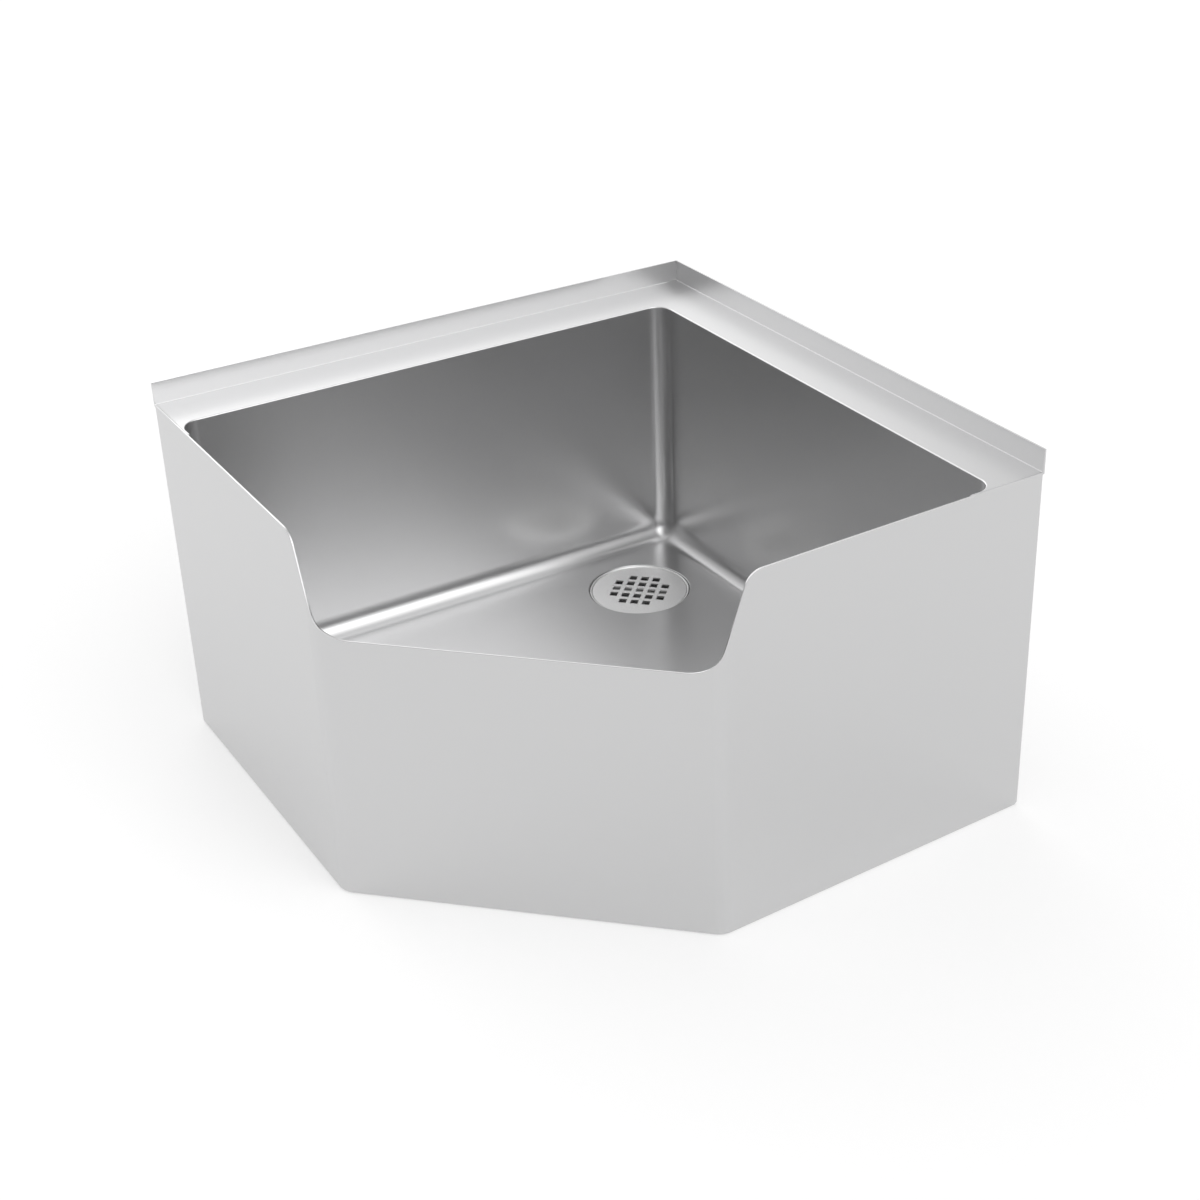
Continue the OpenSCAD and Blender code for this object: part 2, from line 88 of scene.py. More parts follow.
FEET = ("left_end", "right_end", "front_left", "front_right", "corner")
TURNS = (90, 90, 45, 45, 90)                 # how far the bowl turns at each upright cove
FACINGS = (180, 270, 315, 360, 450)          # the outward direction of the wall after each cove
CORNER, LEFT_END, LEFT_BEND, RIGHT_BEND, RIGHT_END = range(5)

MERGE, COLLAPSE = 2e-6, 1e-6                 # distances at which points and edges are taken as one
HOLD = 0.004                                 # from a bend to the row that keeps its flat flat
FOLD_R = 0.0035                              # inner radius of the angle sections' folds
POST_LEG, RAIL_LEG = 0.050, 0.025            # widths of the angle sections
HAT_HALF, HAT_BRIM, HAT_DEPTH = 0.020, 0.035, 0.020
HAT_STOP = 0.037                             # from a channel's end to the apron or the bowl's cove
NUT_RATIO, DRIVE_RATIO = 1.85, 1.6           # corner diameters of nut and drive to the stud's
NUT_EDGE = 0.0006                            # chamfer round a nut's bore
BORE_PLAY = 0.00015                          # from a stud to the bore of its nut or pad
THREAD_ROOT = 0.0049                         # least radius of the thread
THREAD_STEPS = 24                            # points round a stud
PAD_RIBS = ((0, 0.0008), (0.004, 0.0008), (0.0045, 0), (0.008, 0), (0.0085, 0.0008),
            (0.0105, 0.0008), (0.011, 0), (0.0135, 0), (0.014, 0.0008), (0.0155, 0.0008),
            (0.016, 0.0003))                 # radius and height, from the middle outwards


# ---------------------------------------------------------------------------------------------
# Sizes and colours
# ---------------------------------------------------------------------------------------------

def length(name, text, default):
    """A length in metres that shows in the panel."""
    return FloatProperty(name=name, description=text, default=default, unit="LENGTH", precision=4)


def colour(name, text, default):
    """A colour that shows in the panel."""
    return FloatVectorProperty(name=name, description=text, default=default, subtype="COLOR",
                               size=3, min=0, max=1)


def fraction(name, text, default):
    """A number from 0 to 1 that shows in the panel."""
    return FloatProperty(name=name, description=text, default=default, subtype="FACTOR", min=0,
                         max=1)


class SinkSizes(bpy.types.PropertyGroup):
    side_len: length("Side panel", "Side panel, from its wall to the bend of the front", 0.3913)
    rim_w: length("Rim width", "Flat rim, from the wall to the bowl", 0.0635)
    front_h: length("Front height", "Height of the dropped front", 0.3048)
    sheet_t: length("Sheet", "Thickness of the sheet", 0.0019)
    lap_gap: length("Lap gap", "Gap between the bowl's sheets and the apron", 0.0005)
    lap_w: length("Lap", "Bowl wall that laps inside each side panel", 0.012)
    cove_r: length("Upright coves", "Radius of the bowl's upright coves", 0.020)
    floor_r: length("Floor coves", "Radius across of the coves round the floor", 0.0190)
    floor_rise: length("Floor cove rise", "Height of the coves round the floor", 0.0222)
    pan_land: length("Pan land", "Straight edge above the floor coves", 0.0023)
    bowl_z: length("Bowl floor", "Height of the floor in the corner by the drain", 0.0952)
    pitch: FloatProperty(name="Pitch", description="The floor rises one in this many", default=96)
    lip_h: length("Lip", "Depth of the rim's lip in the bowl", 0.0127)
    edge_r: length("Edge bend", "Outer radius of the rim's bend into the bowl", 0.0014)
    flange_r: length("Flange bend", "Inner radius of the bend to the wall flange", 0.0007)
    return_w: length("Return", "Width of the apron's returns", 0.016)
    return_r: length("Return bend", "Outer radius of the returns' bends", 0.0039)
    drop_start: length("Drop start", "Where the drop's slope would meet the top edge", 0.361)
    drop_lean: FloatProperty(name="Drop lean", description="Slope of the drop from the vertical",
                             default=math.radians(20), subtype="ANGLE", unit="ROTATION")
    drop_top_r: length("Drop top radius", "Radius where the slope leaves the top edge", 0.019)
    drop_foot_r: length("Drop foot radius", "Radius where the slope meets the front edge", 0.038)
    drain_offset: length("Drain offset", "Distance from each bowl wall to the drain", 0.110)
    drain_d: length("Drain flange", "Outer diameter of the drain's flange", 0.120)
    ease: length("Eased edge", "Radius on the sheet's cut edges", 0.00035)
    tuck: length("Tuck", "How far a sheet slips behind the next at a ground weld", 0.00003)
    front_channel_at: length("Front channel", "Front channel, behind the front", 0.130)
    rear_channel_at: length("Rear channel", "Rear channel, behind the front", 0.330)
    stud_d: length("Stud", "Diameter of the feet's studs", 0.012)
    thread_pitch: length("Thread pitch", "Pitch of the studs' threads", 0.00175)


class SinkFinish(bpy.types.PropertyGroup):
    steel: colour("Steel", "Colour of the satin sheet", (0.60, 0.60, 0.603))
    steel_rough: fraction("Steel roughness", "Roughness of the satin sheet", 0.28)
    drain_steel: colour("Drain steel", "Colour of the drain's parts", (0.81, 0.81, 0.808))
    drain_rough: fraction("Drain roughness", "Roughness of the blasted drain parts", 0.50)
    # The lint basket's grey is held far below the drain's steel as painted shade for its place down
    # under the strainer plate.
    shaded_basket_steel: colour("Basket steel", "Colour of the lint basket", (0.42, 0.42, 0.42))
    frame_steel: colour("Frame steel", "Colour of the hidden frame", (0.42, 0.42, 0.43))
    zinc: colour("Zinc", "Colour of the plated fasteners", (0.55, 0.56, 0.57))
    brass: colour("Brass", "Colour of the lock nut", (0.60, 0.46, 0.22))
    rubber: colour("Rubber", "Colour of the rubber", (0.028, 0.028, 0.028))
    fibre: colour("Fibre", "Colour of the friction washer", (0.35, 0.25, 0.13))


class StageSettings(bpy.types.PropertyGroup):
    floor_size: length("Floor", "Side of the floor", 30.0)
    floor_tone: fraction("Floor tone", "Grey of the floor", 0.52)
    floor_glow: fraction("Floor glow", "Light added to the floor in the picture", 0.46)


def sizes():
    return bpy.context.scene.sink_sizes


def finish():
    return bpy.context.scene.sink_finish


def stage():
    return bpy.context.scene.sink_stage


# ---------------------------------------------------------------------------------------------
# Meshes
# ---------------------------------------------------------------------------------------------

def grid_quads(rows, cols, around=False, start=0):
    """Corner numbers of the quads of a rows x cols grid of points, closed along cols if around."""
    number = np.arange(rows * cols).reshape(rows, cols) + start
    if around:
        number = np.concatenate([number, number[:, :1]], axis=1)
    a, b, c, d = number[:-1, :-1], number[:-1, 1:], number[1:, 1:], number[1:, :-1]
    return np.stack([a, b, c, d], axis=-1).reshape(-1, 4)


def grid(x, y, z):
    """Points from three arrays of coordinates, each stretched to the shape of all three."""
    return np.stack(np.broadcast_arrays(x, y, z), axis=-1)


def lifted(plan, height):
    """Points (x, y) at a height, which is one number or one for each point."""
    return np.column_stack([plan, np.broadcast_to(height, len(plan))])


def piece_from_grids(name, grids, body, material):
    """One mesh from several grids of points. A grid is (points, around, flip): points has the
    shape (rows, cols, 3), around closes it, and flip turns its faces over. Points that meet are
    merged."""
    points, quads, start = [], [], 0
    for pts, around, flip in grids:
        rows, cols = pts.shape[:2]
        q = grid_quads(rows, cols, around, start)
        quads.append(q[:, ::-1] if flip else q)
        points.append(pts.reshape(-1, 3))
        start += rows * cols
    mesh = bpy.data.meshes.new(name)
    mesh.from_pydata(np.concatenate(points).tolist(), [], np.concatenate(quads).tolist())
    bm = bmesh.new()
    bm.from_mesh(mesh)
    bmesh.ops.remove_doubles(bm, verts=bm.verts, dist=MERGE)
    bmesh.ops.dissolve_degenerate(bm, edges=bm.edges, dist=COLLAPSE)
    bm.to_mesh(mesh)
    bm.free()
    mesh.polygons.foreach_set("use_smooth", [True] * len(mesh.polygons))
    piece = bpy.data.objects.new(name, mesh)
    bpy.context.scene.collection.objects.link(piece)
    mesh.materials.append(material)
    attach(piece, body)
    return piece


def thicken(piece, thickness, even=True):
    """Gives a skin its sheet's thickness behind its faces, eases the cut edges and keeps flats
    flat. A skin with very thin faces takes the plain offset, which is not even across bends."""
    solid = piece.modifiers.new("sheet", "SOLIDIFY")
    solid.thickness = thickness
    solid.offset = -1
    solid.use_even_offset = even
    ease_edges(piece, sizes().ease)
    return piece


def ease_edges(piece, radius, segments=2, angle=40):
    """Rounds a piece's sharp edges and weights its normals by face size."""
    bevel = piece.modifiers.new("ease", "BEVEL")
    bevel.width = radius
    bevel.segments = segments
    bevel.limit_method = "ANGLE"
    bevel.angle_limit = math.radians(angle)
    bevel.use_clamp_overlap = True
    weights = piece.modifiers.new("weights", "WEIGHTED_NORMAL")
    weights.keep_sharp = False
    weights.weight = 80
    return piece


# ---------------------------------------------------------------------------------------------
# The bowl's outline
# ---------------------------------------------------------------------------------------------

def lap():
    s = sizes()
    return 2 * s.sheet_t + s.lap_gap


def bend_point(q):
    """Where the planes a distance q inside the left side panel and the front meet."""
    s = sizes()
    return np.array([s.side_len - q * (math.sqrt(2) - 1) - OVERALL / 2, q - OVERALL / 2])


def across(points):
    """Image of points on the other side of the diagonal: (x, y) becomes (-y, -x)."""
    out = np.array(points, float)
    out[..., 0], out[..., 1] = -np.asarray(points)[..., 1], -np.asarray(points)[..., 0]
    return out


def cove_centres():
    s = sizes()
    near, far = s.rim_w + s.cove_r - OVERALL / 2, lap() + s.cove_r - OVERALL / 2
    bend = bend_point(lap() + s.cove_r)
    return np.array([[near, -near], [near, far], bend, across(bend), [-far, -near]])


def facing(degrees):
    """Unit vectors in plan for directions in degrees."""
    a = np.radians(np.asarray(degrees, float))
    return np.stack([np.cos(a), np.sin(a)], axis=-1)


def arc_stations(i, steps, first=None, last=None):
    """Stations round cove i: its centre again and again, and directions that sweep its turn."""
    a = np.linspace(FACINGS[i] - TURNS[i] if first is None else first,
                    FACINGS[i] if last is None else last, steps)
    return np.repeat(cove_centres()[i][None], len(a), 0), a


def run_stations(i, distances):
    """Stations along the wall after cove i, at distances from that cove's centre."""
    along = facing(FACINGS[i] + 90)
    d = np.asarray(distances, float)
    return cove_centres()[i] + d[:, None] * along, np.full(len(d), float(FACINGS[i]))


def wall_len(i):
    c = cove_centres()
    return float(np.linalg.norm(c[(i + 1) % 5] - c[i]))


def join(*parts):
    """Puts stations end to end, and leaves out those that repeat the one before."""
    centres = np.concatenate([p[0] for p in parts])
    angles = np.concatenate([p[1] for p in parts])
    n = facing(angles)
    key = centres + 0.01 * n
    keep = np.concatenate([[True], np.linalg.norm(np.diff(key, axis=0), axis=1) > 1e-7])
    return centres[keep], angles[keep]


def place(stations, profile):
    """Carries a profile along stations. profile is (rows, 2) or (rows, cols, 2): the distance
    outwards from the bowl's inner face, and the height."""
    centres, angles = stations
    profile = np.asarray(profile, float)
    if profile.ndim == 2:
        profile = np.repeat(profile[:, None], len(angles), 1)
    plan = centres[None] + (sizes().cove_r + profile[..., 0])[..., None] * facing(angles)[None]
    return np.concatenate([plan, profile[..., 1:2]], axis=-1)


def arc(cx, cz, r, a0, a1, steps):
    """Points (distance, height) of a circular arc between two angles in degrees."""
    a = np.radians(np.linspace(a0, a1, steps))
    return np.stack([cx + r * np.cos(a), cz + r * np.sin(a)], axis=-1)


# ---------------------------------------------------------------------------------------------
# Apron
# ---------------------------------------------------------------------------------------------

def drop_height(points):
    """Height of the apron's cut edge over points (x, y) of its outer face. In the view along each
    bend's middle it is the rim's height, a fillet, a straight slope, a fillet and the front's."""
    s = sizes()
    p = np.where((points[:, 0] > -points[:, 1])[:, None], across(points), points)
    half = math.radians(TURNS[LEFT_BEND] / 2)
    w = (p - cove_centres()[LEFT_BEND]) @ facing(math.degrees(half))
    bend_r = lap() + s.cove_r
    slope = math.atan(math.tan(s.drop_lean) * math.cos(half))
    side = s.side_len - bend_r * (math.sqrt(2) - 1)
    top = (s.drop_start - side) * math.cos(half) - bend_r * math.sin(half)
    foot = top + (RIM_H - s.front_h) * math.tan(slope)
    t = math.tan((math.pi / 2 - slope) / 2)
    r1, r2 = s.drop_top_r, s.drop_foot_r
    c1, c2 = top - r1 * t, foot + r2 * t
    w1, w2 = top + r1 * t * math.sin(slope), foot - r2 * t * math.sin(slope)
    fillet1 = RIM_H - r1 + np.sqrt(np.maximum(r1 ** 2 - (w - c1) ** 2, 0))
    fillet2 = s.front_h + r2 - np.sqrt(np.maximum(r2 ** 2 - (w - c2) ** 2, 0))
    line = RIM_H - (w - top) / math.tan(slope)
    return np.select([w < c1, w < w1, w < w2, w < c2],
                     [RIM_H + 0 * w, fillet1, line, fillet2], s.front_h + 0 * w)


def apron_stations():
    """Stations along the apron's outer face, close together where its edge drops."""
    s = sizes()
    start = s.return_r - s.rim_w - s.cove_r
    side = wall_len(LEFT_END)
    fine = np.arange(side - 0.045, side, 0.0008)
    left = np.concatenate([np.linspace(start, side - 0.046, 14), fine, [side]])
    half = wall_len(LEFT_BEND) / 2
    near = np.arange(0, 0.034, 0.001)
    front = np.concatenate([near, np.linspace(0.035, 2 * half - 0.035, 13), 2 * half - near[::-1]])
    return join(run_stations(LEFT_END, left), arc_stations(LEFT_BEND, 29),
                run_stations(LEFT_BEND, front), arc_stations(RIGHT_BEND, 29),
                run_stations(RIGHT_BEND, side - left[::-1]))


def apron_rows():
    """Shares of the apron's height at its rows, with one at the foot of the tab."""
    s = sizes()
    tab = (RIM_H - s.sheet_t - s.lap_gap - s.return_r) / (RIM_H - s.return_r)
    return np.concatenate([np.linspace(0, 1, 9)[1:-1], [0.96, tab, 1.0]])


def build_apron(steel):
    """Outer face of the apron: along each station a flat return, its bend, and the upright sheet
    up to the cut edge."""
    s = sizes()
    st = apron_stations()
    outer = lap()
    plan = st[0] + (s.cove_r + outer) * facing(st[1])
    top = drop_height(plan)
    hem = np.concatenate([[[outer - s.return_w, 0]], [[outer - s.return_r - HOLD, 0]],
                          arc(outer - s.return_r, s.return_r, s.return_r, -90, 0, 9)])
    rows = [np.repeat(hem[:, None], len(top), 1)]
    share = apron_rows()
    up = s.return_r + (top - s.return_r)[None] * share[:, None]
    rows.append(np.stack([np.full(up.shape, outer), up], axis=-1))
    skin = place(st, np.concatenate(rows))
    grids = [(skin, False, False)]
    for mirror in (False, True):
        for pts in apron_return():
            grids.append((across(pts) if mirror else pts, False, mirror))
    piece = piece_from_grids("apron_skin", grids, "sink", steel)
    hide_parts("apron")
    return thicken(piece, s.sheet_t)


def apron_return():
    """The left panel's return along the wall: a strip bent round the upright corner, and the tab
    that closes the rim's end."""
    s = sizes()
    c = s.return_r - OVERALL / 2
    bend = c + s.return_r * facing(np.linspace(180, 270, 9))
    plan = np.concatenate([[[-OVERALL / 2, s.return_w - OVERALL / 2]], bend])
    z = s.return_r + (RIM_H - s.return_r) * np.concatenate([[0], apron_rows()])
    strip = np.stack([lifted(plan, h) for h in z[:-1]])
    tab_plan = np.array([[-OVERALL / 2, -OVERALL / 2], [c, -OVERALL / 2]])
    tab = np.stack([lifted(tab_plan, h) for h in z[-2:]])
    return strip, tab


# ---------------------------------------------------------------------------------------------
# Rims
# ---------------------------------------------------------------------------------------------

def rim_stations(first):
    """Stations along the left rim's edge: half the back cove from the direction first, the wall,
    the end cove and the lap."""
    s = sizes()
    corner = math.degrees(math.atan2(s.cove_r + lap() - s.sheet_t,
                                     s.rim_w + s.cove_r - s.flange_r - s.sheet_t))
    end = np.unique(np.concatenate([np.linspace(180, 270, 31), [180 + corner]]))
    centre = cove_centres()[LEFT_END]
    return join(arc_stations(CORNER, 17, first=first),
                run_stations(CORNER, np.linspace(0, wall_len(CORNER), 24)),
                (np.repeat(centre[None], len(end), 0), end),
                run_stations(LEFT_END, np.linspace(0, s.lap_w, 4)))


def build_rim(name, node, steel, mirror):
    """Rim skin: a lip, its roll, the flat up to the wall flange's bend, and the flange. The flat is
    ruled from the roll to that bend or to the apron's inner face. The left rim runs on under the
    mitre, sunk by the tuck, to the back rim's outer face, so that the mitre shows no groove."""
    s = sizes()
    diagonal = s.rim_w + s.cove_r - s.flange_r - s.sheet_t
    through = 180 - math.degrees(math.atan2(s.rim_w + s.cove_r, diagonal))
    st = rim_stations(135 if mirror else through)
    bend_x = s.flange_r + s.sheet_t - OVERALL / 2
    end_y = s.sheet_t - OVERALL / 2
    n = facing(st[1])
    with np.errstate(divide="ignore", invalid="ignore"):
        to_bend = np.where(n[:, 0] < -1e-6, (bend_x - st[0][:, 0]) / n[:, 0], np.inf)
        to_end = np.where(n[:, 1] < -1e-6, (end_y - st[0][:, 1]) / n[:, 1], np.inf)
    reach = np.minimum(to_bend, to_end) - s.cove_r
    cut = np.minimum(reach, s.edge_r)
    sweep = np.linspace(0, math.pi / 2, 10)[1:, None]
    roll = np.minimum(s.edge_r * (1 - np.cos(sweep)), cut[None])
    top = RIM_H - s.edge_r + np.sqrt(s.edge_r ** 2 - (s.edge_r - roll) ** 2)
    share = np.array([0.03, 0.5, 0.97, 1.0])[:, None]
    flat = cut[None] + (reach - cut)[None] * share
    zero = np.zeros((1, len(n)))
    roll_foot = zero + RIM_H - s.edge_r
    skin = place(st, np.stack([
        np.concatenate([zero, zero, zero, roll, flat]),
        np.concatenate([zero + RIM_H - s.lip_h, roll_foot - HOLD / 2, roll_foot, top,
                        flat * 0 + top[-1:]])], axis=-1))
    if not mirror:
        skin[:-1, 0] += s.tuck * np.append(n[0], -1)
    outer = skin[-1, :, :2]
    on_bend = to_bend <= to_end + 1e-9
    ys = np.concatenate([outer[on_bend, 1], [5e-5 - OVERALL / 2]])
    curve = arc(bend_x, RIM_H + s.flange_r, s.flange_r, 270, 180, 9)
    curve = np.concatenate([curve, [[curve[-1, 0], RIM_H + s.flange_r + HOLD]],
                            [[curve[-1, 0], FLANGE_TOP]]])
    wall = np.empty((len(curve), len(ys), 3))
    wall[..., 0] = curve[:, :1]
    wall[..., 1] = ys[None]
    wall[:, 0, 1] = -curve[:, 0] if mirror else OVERALL / 2
    wall[..., 2] = curve[:, 1:]
    grids = [(skin, False, True), (wall, False, True)]
    if mirror:
        grids = [(across(pts), around, not flip) for pts, around, flip in grids]
    piece = piece_from_grids(name, grids, "sink", steel)
    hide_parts(node)
    return thicken(piece, s.sheet_t)


# ---------------------------------------------------------------------------------------------
# Bowl
# ---------------------------------------------------------------------------------------------

def floor_height(plan):
    """Height of the bowl's pitched floor over points (x, y)."""
    s = sizes()
    x, y = plan[..., 0] + OVERALL / 2 - s.rim_w, OVERALL / 2 - s.rim_w - plan[..., 1]
    return s.bowl_z + (x + y) / s.pitch


def drain_centre():
    s = sizes()
    c = s.rim_w + s.drain_offset - OVERALL / 2
    return np.array([c, -c])


def bowl_stations():
    """Stations once round the bowl, no more than 3 degrees apart as seen from the drain."""
    parts = []
    rel = cove_centres() - drain_centre()
    for i in range(5):
        parts.append(arc_stations(i, 19 if TURNS[i] == 90 else 10))
        rel_a, rel_b = rel[i], rel[(i + 1) % 5]
        reach = float(rel_a @ facing(FACINGS[i]))
        along = facing(FACINGS[i] + 90)
        t0, t1 = math.atan2(rel_a @ along, reach), math.atan2(rel_b @ along, reach)
        steps = max(int(abs(t1 - t0) / math.radians(3)) + 1, 2)
        t = np.linspace(t0, t1, steps + 1)
        distances = reach * np.tan(t) - rel_a @ along
        parts.append(run_stations(i, np.clip(distances, 0, wall_len(i))))
    centres, angles = join(*parts)
    return centres[:-1], angles[:-1]


def build_pan(steel):
    """Floor pan skin. Each station carries an upright down to the floor's cove, and the cove is a
    quarter ellipse that touches the upright and the pitched floor. The floor runs on to the drain's
    recess, which it rolls into."""
    s = sizes()
    shoulder_h = 0.0008
    st = bowl_stations()
    n = facing(st[1])
    wall = st[0] + s.cove_r * n
    tilt = (n[:, 0] - n[:, 1]) / s.pitch
    alpha = np.arctan(tilt * s.floor_r / s.floor_rise)
    centre_z = floor_height(wall) - s.floor_r * tilt + s.floor_rise / np.cos(alpha)
    sweep = np.linspace(0, 1, 13)[:, None]
    a = sweep * (-math.pi / 2 + alpha)[None]
    cove = np.stack([-s.floor_r + s.floor_r * np.cos(a),
                     centre_z[None] + s.floor_rise * np.sin(a)], -1)
    land = floor_height(wall) + s.floor_rise + s.pan_land
    land = np.stack([np.zeros(len(land)), land], -1)[None]
    shoulder = np.stack([np.zeros(len(alpha)), centre_z + shoulder_h], -1)[None]
    pan = place(st, np.concatenate([land, shoulder, cove]))
    inner = pan[-1, :, :2] - drain_centre()
    angle = np.arctan2(inner[:, 1], inner[:, 0])
    ring = np.stack([np.cos(angle), np.sin(angle)], -1)
    recess_r = s.drain_d / 2 + 0.001
    soft = 0.0014
    rows = []
    for share in (0.02, 0.35, 0.7, 1.0):
        plan = drain_centre() + inner * (1 - share) + ring * (recess_r + soft) * share
        rows.append(lifted(plan, floor_height(plan)))
    rim_z = floor_height(drain_centre() + ring * (recess_r + soft))
    for t in np.radians([22.5, 45, 67.5, 90]):
        plan = drain_centre() + ring * (recess_r + soft - soft * math.sin(t))
        rows.append(lifted(plan, rim_z - soft + soft * math.cos(t)))
    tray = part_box("drain_body")[1].z - 0.006
    for r in (recess_r, s.drain_d / 2 - 0.005):
        rows.append(lifted(drain_centre() + ring * r, tray))
    skin = np.concatenate([pan, np.stack(rows)])
    piece = piece_from_grids("pan_skin", [(skin, True, False)], "sink", steel)
    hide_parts("floor_pan")
    thicken(piece, s.sheet_t, even=False)


def build_walls(steel):
    """Bowl wall skin: an upright sheet round three coves, a tuck behind the rim's lip and the pan's
    land, and a little past both seams."""
    s = sizes()
    past = 0.0008
    lap_steps = np.linspace(0, s.lap_w, 4)
    walls = join(run_stations(RIGHT_BEND, wall_len(RIGHT_BEND) - s.lap_w + lap_steps),
                 arc_stations(RIGHT_END, 25),
                 run_stations(RIGHT_END, np.linspace(0, wall_len(RIGHT_END), 20)),
                 arc_stations(CORNER, 25),
                 run_stations(CORNER, np.linspace(0, wall_len(CORNER), 20)),
                 arc_stations(LEFT_END, 25),
                 run_stations(LEFT_END, lap_steps))
    low = floor_height(walls[0] + s.cove_r * facing(walls[1])) + s.floor_rise + s.pan_land
    high = RIM_H - s.lip_h
    share = np.linspace(0, 1, 8)[:, None]
    z = (low[None] - past) * (1 - share) + (high + past) * share
    band = place(walls, np.stack([np.full(z.shape, s.tuck), z], -1))
    piece = piece_from_grids("wall_skin", [(band, False, True)], "sink", steel)
    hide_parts("bowl_wall")
    thicken(piece, s.sheet_t)


# ---------------------------------------------------------------------------------------------
# Drain
# ---------------------------------------------------------------------------------------------

def revolve(profile, centre, steps=192):
    """Turns a profile of (radius, height) about an upright axis."""
    a = np.linspace(0, 2 * math.pi, steps, endpoint=False)
    p = np.asarray(profile, float)
    return grid(centre[0] + p[:, :1] * np.cos(a), centre[1] + p[:, :1] * np.sin(a), p[:, 1:])


def eased(corners, radius, steps=4):
    """A closed outline through corners (x, y), each cut back by radius and rounded."""
    c = np.asarray(corners, float)
    before, after = np.roll(c, 1, 0) - c, np.roll(c, -1, 0) - c
    lb, la = np.linalg.norm(before, axis=1), np.linalg.norm(after, axis=1)
    r = np.minimum(radius, 0.4 * np.minimum(lb, la))
    p0, p2 = c + before * (r / lb)[:, None], c + after * (r / la)[:, None]
    t = np.linspace(0, 1, steps)[None, :, None]
    curve = (1 - t) ** 2 * p0[:, None] + 2 * t * (1 - t) * c[:, None] + t ** 2 * p2[:, None]
    return curve.reshape(-1, 2)


def build_drain(steel):
    """Drain body: its outline is turned about the drain's axis. The ring's inner edge slopes."""
    s = sizes()
    low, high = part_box("drain_body")
    cup, body, flange = 0.0508, 0.0536, s.drain_d / 2
    seat, basket_seat, ring_h = 0.0577, 0.0531, 0.005
    plate = high.z - 0.0032
    basket = plate - 0.0016
    stop, stop_r = low.z + 0.032, 0.04195
    slope = 0.0011
    corners = [(cup, basket), (basket_seat, basket), (basket_seat, plate - 0.0003),
               (seat, plate - 0.0003), (seat, high.z - slope), (seat + slope, high.z),
               (flange, high.z), (flange, high.z - ring_h),
               (body, high.z - ring_h), (body, low.z), (cup, low.z), (cup, stop), (stop_r, stop),
               (stop_r, stop + 0.003), (cup, stop + 0.006)]
    outline = eased(corners, 0.0006)
    outline = np.concatenate([outline, outline[:1]])
    pts = revolve(outline, drain_centre())
    piece = piece_from_grids("drain_skin", [(pts, True, True)], "sink", steel)
    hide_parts("drain_body")


def copy_of(node, name, body, material, ease=0.0003, angle=30):
    """A merged copy of a solid with eased edges."""
    mesh = NODES[node].data.copy()
    mesh.name = name
    bm = bmesh.new()
    bm.from_mesh(mesh)
    bmesh.ops.remove_doubles(bm, verts=bm.verts, dist=MERGE)
    bmesh.ops.dissolve_limit(bm, angle_limit=math.radians(1), verts=bm.verts, edges=bm.edges)
    bm.to_mesh(mesh)
    bm.free()
    mesh.polygons.foreach_set("use_smooth", [True] * len(mesh.polygons))
    mesh.materials.clear()
    mesh.materials.append(material)
    piece = bpy.data.objects.new(name, mesh)
    bpy.context.scene.collection.objects.link(piece)
    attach(piece, body)
    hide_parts(node)
    return ease_edges(piece, ease, 2, angle)


# ---------------------------------------------------------------------------------------------
# Underframe
# ---------------------------------------------------------------------------------------------

def folded(corners, radii, steps=6):
    """An open path through corners (x, y), each inner corner rounded to its radius by an arc that
    touches both sides."""
    c = np.asarray(corners, float)
    out = [c[:1]]
    for i, r in enumerate(radii, start=1):
        u = (c[i - 1] - c[i]) / np.linalg.norm(c[i - 1] - c[i])
        v = (c[i + 1] - c[i]) / np.linalg.norm(c[i + 1] - c[i])
        half = math.acos(np.clip(u @ v, -1, 1)) / 2
        centre = c[i] + (u + v) / np.linalg.norm(u + v) * r / math.sin(half)
        a = c[i] + u * r / math.tan(half) - centre
        b = c[i] + v * r / math.tan(half) - centre
        t = np.linspace(0, 1, steps + 1)[:, None]
        angle = math.acos(np.clip(a @ b / r ** 2, -1, 1))
        out.append(centre + (np.sin((1 - t) * angle) * a + np.sin(t * angle) * b) / math.sin(angle))
    out.append(c[-1:])
    return np.concatenate(out)


def corner_frame(points):
    """Points given from the room corner, in the sink's own frame."""
    return np.asarray(points, float) + np.array([-OVERALL / 2, OVERALL / 2, 0])


def under_floor(points, distance):
    """Points (along the front, towards the room corner, square to the floor) of a piece a distance
    behind the front, turned with the floor's pitch about the bowl's corner."""
    s = sizes()
    p = np.asarray(points, float)
    mid = (OVERALL + s.side_len) / 2
    c = math.sqrt(0.5)
    x = mid + c * p[..., 0] - c * (p[..., 1] + distance)
    y = -mid + c * p[..., 0] + c * (p[..., 1] + distance)
    z = p[..., 2] - s.sheet_t
    axis = np.array([c, c, 0.0])
    angle = -math.atan(math.sqrt(2) / s.pitch)
    pivot = np.array([s.rim_w, -s.rim_w, 0])
    v = np.stack([x, y, z], -1) - pivot
    turned = (v * math.cos(angle) + np.cross(axis, v) * math.sin(angle)
              + axis * (v @ axis)[..., None] * (1 - math.cos(angle)))
    return corner_frame(turned + pivot + np.array([0, 0, s.bowl_z]))


